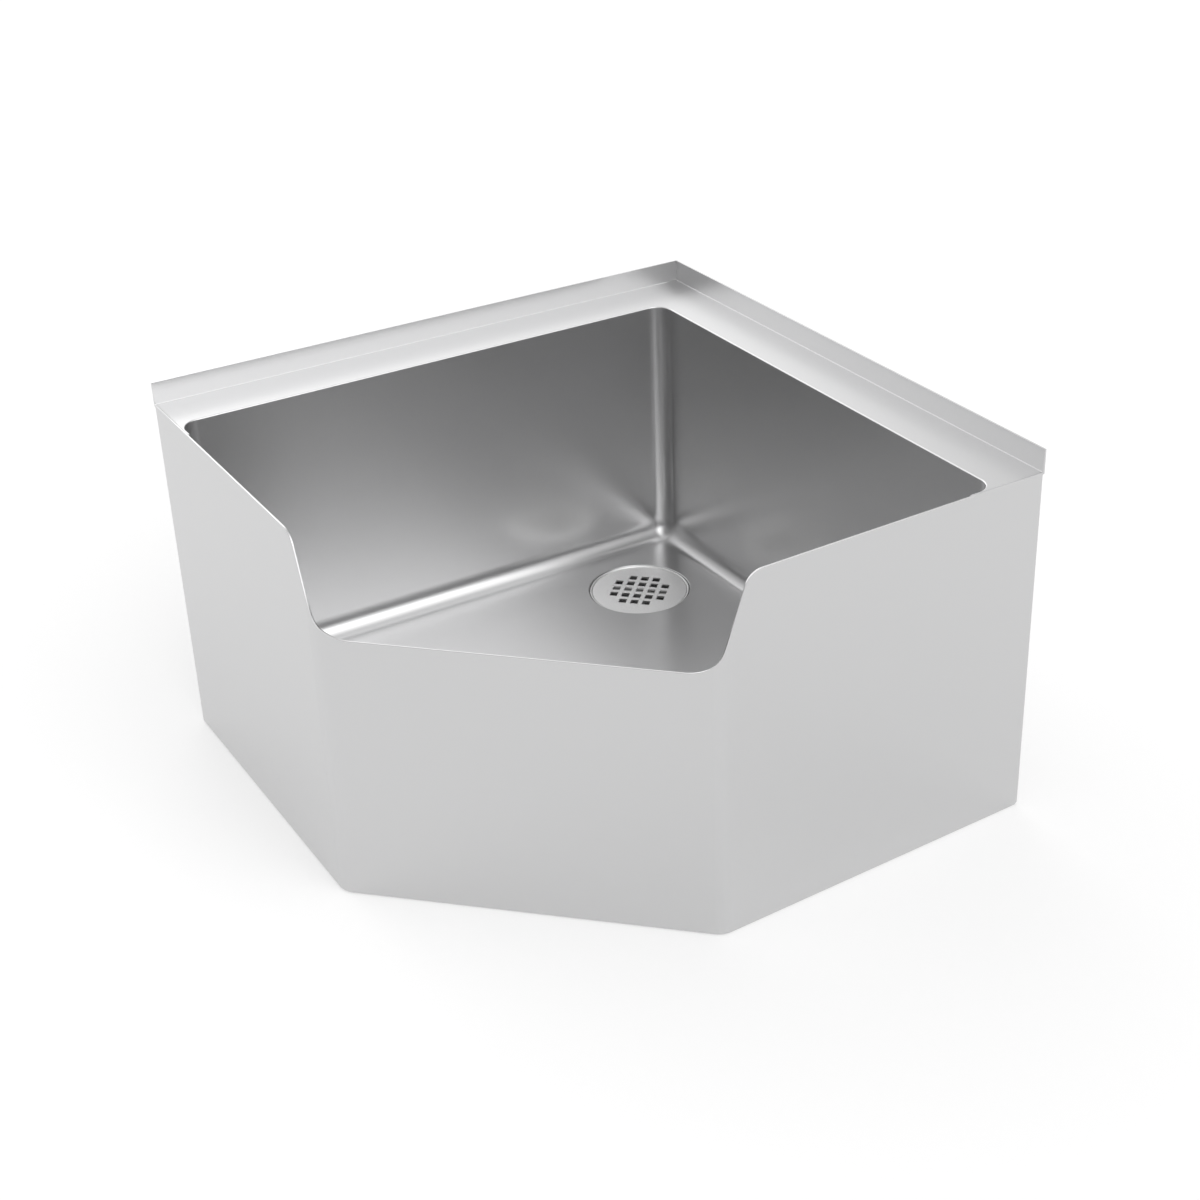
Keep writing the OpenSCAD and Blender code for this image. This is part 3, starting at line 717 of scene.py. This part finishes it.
def build_channels(steel):
    """Hat sections under the floor: a folded path carried along the front."""
    s = sizes()
    front_half = (OVERALL - s.side_len) * math.sqrt(0.5)
    bend_r = lap() + s.cove_r
    reach = (OVERALL + s.side_len) / math.sqrt(2) - (s.rim_w + s.cove_r) * math.sqrt(2)
    t = s.sheet_t
    path = folded([(-HAT_BRIM, -t), (-HAT_HALF, -t), (-HAT_HALF, -HAT_DEPTH),
                   (HAT_HALF, -HAT_DEPTH), (HAT_HALF, -t), (HAT_BRIM, -t)],
                  (0.0012, 0.003, 0.003, 0.0012))
    for name, distance in (("front_channel", s.front_channel_at),
                           ("rear_channel", s.rear_channel_at)):
        half = min(front_half + distance - bend_r * math.sqrt(2), reach - distance) - HAT_STOP
        pts = grid(np.linspace(-half, half, 12), path[:, :1], path[:, 1:])
        piece = piece_from_grids(name + "_skin", [(under_floor(pts, distance), False, True)],
                                 "sink", steel)
        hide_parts(name)
        thicken(piece, t)


def build_angles(steel):
    """Corner post and base rails: angle sections with a rounded fold."""
    s = sizes()
    t = s.sheet_t
    path = folded([(0, -POST_LEG), (0, 0), (POST_LEG, 0)], (FOLD_R,))
    pts = grid(path[:, 0], path[:, 1], np.linspace(0, RIM_H - t, 8)[:, None])
    post = piece_from_grids("corner_post_skin", [(corner_frame(pts), False, True)], "sink",
                            steel)
    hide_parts("corner_post")
    thicken(post, t)
    path = folded([(t, RAIL_LEG), (t, 0), (RAIL_LEG, 0)], (FOLD_R,))
    start = s.return_w + 0.001 - OVERALL
    share = np.linspace(0, 1, 12)[None]
    y = start * (1 - share) - np.maximum(path[:, :1], t) * share
    left = corner_frame(grid(path[:, :1], y, path[:, 1:]))
    for name, points, flip in (("left_base_rail", left, False),
                               ("back_base_rail", across(left), True)):
        rail = piece_from_grids(name + "_skin", [(points, False, flip)], "sink",
                                steel)
        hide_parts(name)
        thicken(rail, t)


# ---------------------------------------------------------------------------------------------
# Levelling feet
# ---------------------------------------------------------------------------------------------

def foot_spots():
    """The axis of each foot in plan."""
    out = {}
    for foot in FEET:
        low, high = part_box(foot + "_stud")
        out[foot] = ((low.x + high.x) / 2, (low.y + high.y) / 2)
    return out


def hexagon(profile, spot, corner_r, steps=10):
    """Turns a profile about an upright axis. Its points are (share, radius, height): the share says
    how far the point leaves the radius for the hexagon's side, whose distance is the apothem over
    the cosine of the angle from the middle of the side. A point on the side sinks by the chamfer,
    30 degrees below the radius where it starts."""
    a = np.linspace(0, 2 * math.pi, 6 * steps, endpoint=False)
    side = corner_r * math.cos(math.pi / 6) / np.cos(np.mod(a, math.pi / 3) - math.pi / 6)
    p = np.asarray(profile, float)
    r = p[:, 1:2] * (1 - np.abs(p[:, :1])) + side[None] * np.abs(p[:, :1])
    drop = (side[None] - p[:, 1:2]) * math.tan(math.radians(30)) * -p[:, :1]
    return grid(spot[0] + r * np.cos(a), spot[1] + r * np.sin(a), p[:, 2:] + drop)


def nut_profile(z0, z1, bore, corner_r):
    """Profile of a chamfered nut for hexagon."""
    start = corner_r * math.cos(math.pi / 6) * 0.95
    c = NUT_EDGE
    return [(0, bore, z0 + c), (0, bore, z1 - c), (0, bore + c, z1), (0, start, z1),
            (1, start, z1), (-1, start, z0), (0, start, z0), (0, bore + c, z0), (0, bore, z0 + c)]


def build_nuts(zinc):
    """Weld nuts and jam nuts: five chamfered hexagons each, on the feet's axes."""
    r = sizes().stud_d / 2
    for name in ("weld_nuts", "jam_nuts"):
        low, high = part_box(name)
        profile = nut_profile(low.z, high.z, r + BORE_PLAY, NUT_RATIO * r)
        grids = [(hexagon(profile, spot, NUT_RATIO * r), True, True)
                 for spot in foot_spots().values()]
        piece = piece_from_grids(name + "_skin", grids, "sink", zinc)
        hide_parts(name)
        ease_edges(piece, 0.0003, 2, 35)


def threaded(spot, r, foot, top):
    """Points of a stud's thread, with its flat closed foot. The radius falls from crest to root as
    a wave of the height over the thread's pitch less the turn, and the end is chamfered."""
    lead = sizes().thread_pitch
    a = np.linspace(0, 2 * math.pi, THREAD_STEPS, endpoint=False)[None]
    z = np.minimum(np.arange(foot, top + lead / 12, lead / 6)[:, None], top)
    wave = np.abs(2 * np.mod(z / lead - a / (2 * math.pi), 1) - 1)
    radius = r - 0.6 * lead * np.clip(1.25 * wave - 0.12, 0, 1)
    radius = np.minimum(radius, r - np.clip(z - (top - 0.0012), 0, 1))
    radius = np.maximum(radius, THREAD_ROOT * np.clip((top - z) / 1e-5, 0, 1))
    thread = grid(spot[0] + radius * np.cos(a), spot[1] + radius * np.sin(a), z)
    return np.concatenate([revolve([(0, foot)], spot, THREAD_STEPS), thread])


def build_stud(foot, spot, pad_top, zinc):
    """Stud: a plain shank, a chamfered hexagon to turn it by, the thread and its flat tip."""
    r = sizes().stud_d / 2
    low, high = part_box(foot + "_stud")
    hex_top = pad_top + 0.8 * r
    thread = threaded(spot, r, hex_top, high.z)
    tip = revolve([(THREAD_ROOT, high.z), (0, high.z)], spot, THREAD_STEPS)
    thread[-1, :, :2] = tip[0, :, :2]
    shank = revolve([(0, low.z), (r - 0.0005, low.z), (r, low.z + 0.0005), (r, hex_top),
                     (0, hex_top)], spot, THREAD_STEPS)
    start = DRIVE_RATIO * r * 0.82
    drive = hexagon([(0, 0, pad_top), (0, start, pad_top), (-1, start, pad_top),
                     (1, start, hex_top), (0, start, hex_top), (0, 0, hex_top)], spot,
                    DRIVE_RATIO * r)
    grids = [(points, True, False) for points in (thread, tip, shank, drive)]
    stud = piece_from_grids(foot + "_stud_skin", grids, foot + "_foot", zinc)
    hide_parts(foot + "_stud")


def build_pad(foot, spot, rubber):
    """Pad: an outline turned about the axis, ribbed below and rounded above."""
    low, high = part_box(foot + "_pad")
    h, r = high.z, (high.x - low.x) / 2
    bore = sizes().stud_d / 2 + BORE_PLAY
    outline = [*PAD_RIBS, (r - 0.0004, 0.0006), (r, 0.0014), (r, h - 0.0036),
               (r - 0.0006, h - 0.0026), (r - 0.0036, h - 0.0004), (r - 0.0045, h),
               (bore + 0.00065, h), (bore, h - 0.0006), (bore, 0.003), (0, 0.003)]
    pad = piece_from_grids(foot + "_pad_skin", [(revolve(outline, spot, 96), True, False)],
                           foot + "_foot", rubber)
    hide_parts(foot + "_pad")
    ease_edges(pad, 0.0002, 1, 30)


def build_feet(zinc, rubber):
    """The five levelling feet."""
    for foot, spot in foot_spots().items():
        build_stud(foot, spot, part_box(foot + "_pad")[1].z, zinc)
        build_pad(foot, spot, rubber)


# ---------------------------------------------------------------------------------------------
# Finishes
# ---------------------------------------------------------------------------------------------

def new_group(name, inputs, outputs):
    """An empty shader group with named sockets: (name, kind, default)."""
    group = bpy.data.node_groups.new(name, "ShaderNodeTree")
    for label, kind, value in inputs:
        sock = group.interface.new_socket(label, in_out="INPUT", socket_type=kind)
        if value is not None:
            sock.default_value = value
    for label, kind in outputs:
        group.interface.new_socket(label, in_out="OUTPUT", socket_type=kind)
    return group, group.nodes.new("NodeGroupInput"), group.nodes.new("NodeGroupOutput")


def calc(tree, operation, *values):
    """A Math node on sockets and plain numbers; gives its output."""
    node = tree.nodes.new("ShaderNodeMath")
    node.operation = operation
    for socket, value in zip(node.inputs, values):
        if isinstance(value, bpy.types.NodeSocket):
            tree.links.new(value, socket)
        else:
            socket.default_value = value
    return node.outputs[0]


def noise(tree, vector, scale, detail, roughness):
    """A noise texture on a socket of places; gives its height."""
    node = tree.nodes.new("ShaderNodeTexNoise")
    tree.links.new(vector, node.inputs["Vector"])
    for label, value in (("Scale", scale), ("Detail", detail), ("Roughness", roughness)):
        node.inputs[label].default_value = value
    return node.outputs["Fac"]


def grain_group():
    """Satin grain: fine streaks and broad soft mottling. The colour is scaled by one plus the
    streaks times their strength, the roughness shifts by its spread times streaks plus mottling
    less one, and the height is the streaks."""
    if "satin_grain" in bpy.data.node_groups:
        return bpy.data.node_groups["satin_grain"]
    group, gin, gout = new_group(
        "satin_grain",
        [("Colour", "NodeSocketColor", (0.5, 0.5, 0.5, 1)),
         ("Streak Scale", "NodeSocketVector", (1, 1, 1)),
         ("Streak Strength", "NodeSocketFloat", 0.05), ("Roughness", "NodeSocketFloat", 0.3),
         ("Roughness Spread", "NodeSocketFloat", 0.05)],
        [("Colour", "NodeSocketColor"), ("Roughness", "NodeSocketFloat"),
         ("Height", "NodeSocketFloat")])
    nodes, links = group.nodes, group.links
    spot = nodes.new("ShaderNodeTexCoord").outputs["Object"]
    stretch = nodes.new("ShaderNodeVectorMath")
    stretch.operation = "MULTIPLY"
    links.new(spot, stretch.inputs[0])
    links.new(gin.outputs["Streak Scale"], stretch.inputs[1])
    streaks = noise(group, stretch.outputs[0], 1.0, 4.0, 0.65)
    mottle = noise(group, spot, 9.0, 3.0, 0.5)
    shade = nodes.new("ShaderNodeVectorMath")
    shade.operation = "SCALE"
    links.new(gin.outputs["Colour"], shade.inputs[0])
    links.new(calc(group, "MULTIPLY_ADD", streaks, gin.outputs["Streak Strength"], 1.0),
              shade.inputs["Scale"])
    links.new(shade.outputs[0], gout.inputs["Colour"])
    centred = calc(group, "SUBTRACT", calc(group, "ADD", streaks, mottle), 1.0)
    links.new(calc(group, "MULTIPLY_ADD", centred, gin.outputs["Roughness Spread"],
                   gin.outputs["Roughness"]), gout.inputs["Roughness"])
    links.new(streaks, gout.inputs["Height"])
    return group


def grained(name, colour, roughness, streaks, strength, spread, bump, depth, metallic):
    """A material with satin grain. Streaks are the grain's scales along the three axes."""
    mat = bpy.data.materials.new(name)
    mat.use_nodes = True
    nodes, links = mat.node_tree.nodes, mat.node_tree.links
    shader = nodes["Principled BSDF"]
    shader.inputs["Metallic"].default_value = metallic
    grain = nodes.new("ShaderNodeGroup")
    grain.node_tree = grain_group()
    for label, value in (("Colour", (*colour, 1)), ("Streak Scale", streaks),
                         ("Streak Strength", strength), ("Roughness", roughness),
                         ("Roughness Spread", spread)):
        grain.inputs[label].default_value = value
    links.new(grain.outputs["Colour"], shader.inputs["Base Color"])
    links.new(grain.outputs["Roughness"], shader.inputs["Roughness"])
    relief = nodes.new("ShaderNodeBump")
    relief.inputs["Strength"].default_value = bump
    relief.inputs["Distance"].default_value = depth
    links.new(grain.outputs["Height"], relief.inputs["Height"])
    links.new(relief.outputs["Normal"], shader.inputs["Normal"])
    return mat


def metal(name, colour, roughness, streaks=(12, 12, 1500), strength=0.006, spread=0.01, bump=0.0):
    """A metal with satin grain."""
    return grained(name, colour, roughness, streaks, strength, spread, bump, 0.0001, 1.0)


def soft_matter(name, colour, roughness):
    """Rubber or fibre: a dull colour with fine pitting."""
    return grained(name, colour, roughness, (400, 400, 400), 0.35, 0.1, 0.15, 0.0002, 0.0)


def material(slot):
    """The finish of a slot, made the first time that it is asked for."""
    name = slot + "_finish"
    if name in bpy.data.materials:
        return bpy.data.materials[name]
    f = finish()
    makers = {
        "satin_steel": lambda: metal(name, f.steel, f.steel_rough),
        "drain_steel": lambda: metal(name, f.drain_steel, f.drain_rough, (650, 650, 650), 0.36,
                                     0.10, 0.3),
        # The basket takes the darkened grey: painted shade under the strainer plate, not a different
        # steel.
        "basket": lambda: metal(name, f.shaded_basket_steel, 0.5, (300, 300, 300), 0.1, 0.1, 0.1),
        "frame_steel": lambda: metal(name, f.frame_steel, 0.42, (40, 40, 40), 0.1, 0.1, 0.05),
        "zinc_steel": lambda: metal(name, f.zinc, 0.33, (150, 150, 150), 0.08),
        "brass": lambda: metal(name, f.brass, 0.38, (200, 200, 200), 0.1, 0.1, 0.2),
        "black_rubber": lambda: soft_matter(name, f.rubber, 0.62),
        "fibre": lambda: soft_matter(name, f.fibre, 0.8),
    }
    return makers[slot]()


# ---------------------------------------------------------------------------------------------
# Operators
# ---------------------------------------------------------------------------------------------

class SINK_OT_apron(bpy.types.Operator):
    """Skins the bent apron with its dropped front"""
    bl_idname = "sink.apron"
    bl_label = "Apron"

    def execute(self, context):
        build_apron(material("satin_steel"))
        return {"FINISHED"}


class SINK_OT_rims(bpy.types.Operator):
    """Skins the two rims and their wall flanges"""
    bl_idname = "sink.rims"
    bl_label = "Rims"

    def execute(self, context):
        build_rim("left_rim_skin", "left_rim", material("satin_steel"), False)
        build_rim("back_rim_skin", "back_rim", material("satin_steel"), True)
        return {"FINISHED"}


class SINK_OT_bowl(bpy.types.Operator):
    """Skins the bowl's walls, coves and pitched floor"""
    bl_idname = "sink.bowl"
    bl_label = "Bowl"

    def execute(self, context):
        build_pan(material("satin_steel"))
        build_walls(material("satin_steel"))
        return {"FINISHED"}


class SINK_OT_drain(bpy.types.Operator):
    """Turns the drain body and eases the strainer plate's edges"""
    bl_idname = "sink.drain"
    bl_label = "Drain"

    def execute(self, context):
        steel = material("drain_steel")
        build_drain(steel)
        copy_of("strainer_plate", "strainer_skin", "strainer", steel)
        return {"FINISHED"}


class SINK_OT_underframe(bpy.types.Operator):
    """Folds the channels, the corner post and the base rails, and eases the brackets' edges"""
    bl_idname = "sink.underframe"
    bl_label = "Underframe"

    def execute(self, context):
        steel = material("frame_steel")
        build_channels(steel)
        build_angles(steel)
        for foot in FEET:
            name = foot + "_bracket"
            copy_of(name, name + "_skin", "sink", steel, 0.0005)
        return {"FINISHED"}


class SINK_OT_fittings(bpy.types.Operator):
    """Eases the edges of the drain's hidden fittings and of the sound pads"""
    bl_idname = "sink.fittings"
    bl_label = "Drain fittings"

    def execute(self, context):
        for name, slot, ease in (("flange_gasket", "black_rubber", 0.0002),
                                 ("under_gasket", "black_rubber", 0.0004),
                                 ("friction_washer", "fibre", 0.0002),
                                 ("lock_nut", "brass", 0.0007),
                                 ("pipe_seal", "black_rubber", 0.0005),
                                 ("sound_pads", "black_rubber", 0.0006)):
            copy_of(name, name + "_skin", "sink", material(slot), ease)
        copy_of("lint_basket", "lint_basket_skin", "basket", material("basket"),
                0.0002)
        return {"FINISHED"}


class SINK_OT_feet(bpy.types.Operator):
    """Cuts the studs' threads, chamfers the nuts and moulds the pads"""
    bl_idname = "sink.feet"
    bl_label = "Levelling feet"

    def execute(self, context):
        build_nuts(material("zinc_steel"))
        build_feet(material("zinc_steel"), material("black_rubber"))
        return {"FINISHED"}


class SINK_OT_finishes(bpy.types.Operator):
    """Gives every solid that still shows its finish"""
    bl_idname = "sink.finishes"
    bl_label = "Finishes"

    def execute(self, context):
        slots = {p["node"]: p["material_slot"] for p in frame["record"]["subparts"]}
        for node, obj in NODES.items():
            obj.data.materials.clear()
            obj.data.materials.append(material(slots[node]))
        return {"FINISHED"}


class SINK_OT_stage(bpy.types.Operator):
    """Builds the floor, the lights, the world and the camera"""
    bl_idname = "sink.stage"
    bl_label = "Stage"

    def execute(self, context):
        build_floor()
        build_world()
        build_camera()
        context.scene.view_settings.view_transform = "Standard"
        return {"FINISHED"}


def build_floor():
    """A pale floor that keeps the object's shadow. The picture and the reflections in metal see it
    with a little light of its own, which takes it to white away from the object."""
    s = stage()
    half = s.floor_size / 2
    x, y = np.meshgrid([-half, half], [-half, half])
    mesh = bpy.data.meshes.new("floor")
    mesh.from_pydata(grid(x, y, FLOOR_DROP).reshape(-1, 3).tolist(), [], grid_quads(2, 2).tolist())
    floor = bpy.data.objects.new("floor", mesh)
    bpy.context.scene.collection.objects.link(floor)
    mat = bpy.data.materials.new("floor")
    mat.use_nodes = True
    tree = mat.node_tree
    nodes, links = tree.nodes, tree.links
    nodes.clear()
    matt = nodes.new("ShaderNodeBsdfDiffuse")
    matt.inputs["Color"].default_value = (s.floor_tone, s.floor_tone, s.floor_tone, 1)
    path = nodes.new("ShaderNodeLightPath")
    seen = path.outputs["Is Camera Ray"]
    for ray in ("Is Glossy Ray", "Is Transmission Ray"):
        seen = calc(tree, "MAXIMUM", seen, path.outputs[ray])
    glow = nodes.new("ShaderNodeEmission")
    glow.inputs["Color"].default_value = WHITE
    links.new(calc(tree, "MULTIPLY", seen, s.floor_glow), glow.inputs["Strength"])
    both = nodes.new("ShaderNodeAddShader")
    links.new(matt.outputs[0], both.inputs[0])
    links.new(glow.outputs[0], both.inputs[1])
    links.new(both.outputs[0], nodes.new("ShaderNodeOutputMaterial").inputs["Surface"])
    mesh.materials.append(mat)


def sky(tree):
    """Strength of the sky. Each soft box is as bright as its strength times e to the power of
    FOCUS times (the cosine of the angle from its middle, less one)."""
    direction = tree.nodes.new("ShaderNodeTexCoord").outputs["Generated"]
    total = 0.0
    for azimuth, elevation, strength in SOFT_BOXES:
        a, e = math.radians(azimuth), math.radians(elevation)
        toward = tree.nodes.new("ShaderNodeVectorMath")
        toward.operation = "DOT_PRODUCT"
        toward.inputs[1].default_value = (math.cos(a) * math.cos(e), math.sin(a) * math.cos(e),
                                          math.sin(e))
        tree.links.new(direction, toward.inputs[0])
        power = calc(tree, "MULTIPLY_ADD", toward.outputs["Value"], FOCUS, -FOCUS)
        total = calc(tree, "MULTIPLY_ADD", calc(tree, "EXPONENT", power), strength, total)
    return total


def build_world():
    """Studio light from the soft boxes, and a white backdrop that only the camera sees."""
    world = bpy.data.worlds.new("studio")
    bpy.context.scene.world = world
    world.use_nodes = True
    tree = world.node_tree
    nodes, links = tree.nodes, tree.links
    nodes.clear()
    light, backdrop = nodes.new("ShaderNodeBackground"), nodes.new("ShaderNodeBackground")
    light.inputs["Color"].default_value = backdrop.inputs["Color"].default_value = WHITE
    links.new(sky(tree), light.inputs["Strength"])
    backdrop.inputs["Strength"].default_value = 1.0
    mix = nodes.new("ShaderNodeMixShader")
    links.new(nodes.new("ShaderNodeLightPath").outputs["Is Camera Ray"], mix.inputs[0])
    links.new(light.outputs[0], mix.inputs[1])
    links.new(backdrop.outputs[0], mix.inputs[2])
    links.new(mix.outputs[0], nodes.new("ShaderNodeOutputWorld").inputs["Surface"])


def build_camera():
    """The photograph's viewpoint."""
    cam = bpy.data.cameras.new("camera")
    cam.sensor_width = CAMERA_SENSOR
    cam.lens = CAMERA_LENS
    cam.shift_x, cam.shift_y = CAMERA_SHIFT
    cam.clip_start = 0.05
    obj = bpy.data.objects.new("camera", cam)
    obj.location = CAMERA_AT
    obj.rotation_euler = (math.radians(90 - CAMERA_DIP), 0, math.radians(CAMERA_TURN))
    bpy.context.scene.collection.objects.link(obj)
    bpy.context.scene.camera = obj


class SINK_PT_panel(bpy.types.Panel):
    """Lists the steps that dress the sink"""
    bl_label = "Mop Sink"
    bl_idname = "SINK_PT_panel"
    bl_space_type = "VIEW_3D"
    bl_region_type = "UI"
    bl_category = "Mop Sink"

    def draw(self, context):
        for step in STEPS:
            self.layout.operator(step.bl_idname)


STEPS = (SINK_OT_stage, SINK_OT_finishes, SINK_OT_apron, SINK_OT_rims, SINK_OT_bowl, SINK_OT_drain,
         SINK_OT_fittings, SINK_OT_underframe, SINK_OT_feet)
CLASSES = (SinkSizes, SinkFinish, StageSettings) + STEPS + (SINK_PT_panel,)


def register():
    for cls in CLASSES:
        bpy.utils.register_class(cls)
    bpy.types.Scene.sink_sizes = PointerProperty(type=SinkSizes)
    bpy.types.Scene.sink_finish = PointerProperty(type=SinkFinish)
    bpy.types.Scene.sink_stage = PointerProperty(type=StageSettings)


def unregister():
    del bpy.types.Scene.sink_stage
    del bpy.types.Scene.sink_finish
    del bpy.types.Scene.sink_sizes
    for cls in reversed(CLASSES):
        bpy.utils.unregister_class(cls)


def corners(box):
    """A box as plain lists of numbers."""
    return [[float(v) for v in corner] for corner in box]


def main():
    register()
    bpy.ops.sink.stage()
    bpy.ops.sink.finishes()
    bpy.ops.sink.apron()
    bpy.ops.sink.rims()
    bpy.ops.sink.bowl()
    bpy.ops.sink.drain()
    bpy.ops.sink.fittings()
    bpy.ops.sink.underframe()
    bpy.ops.sink.feet()


if __name__ == "__main__":
    main()
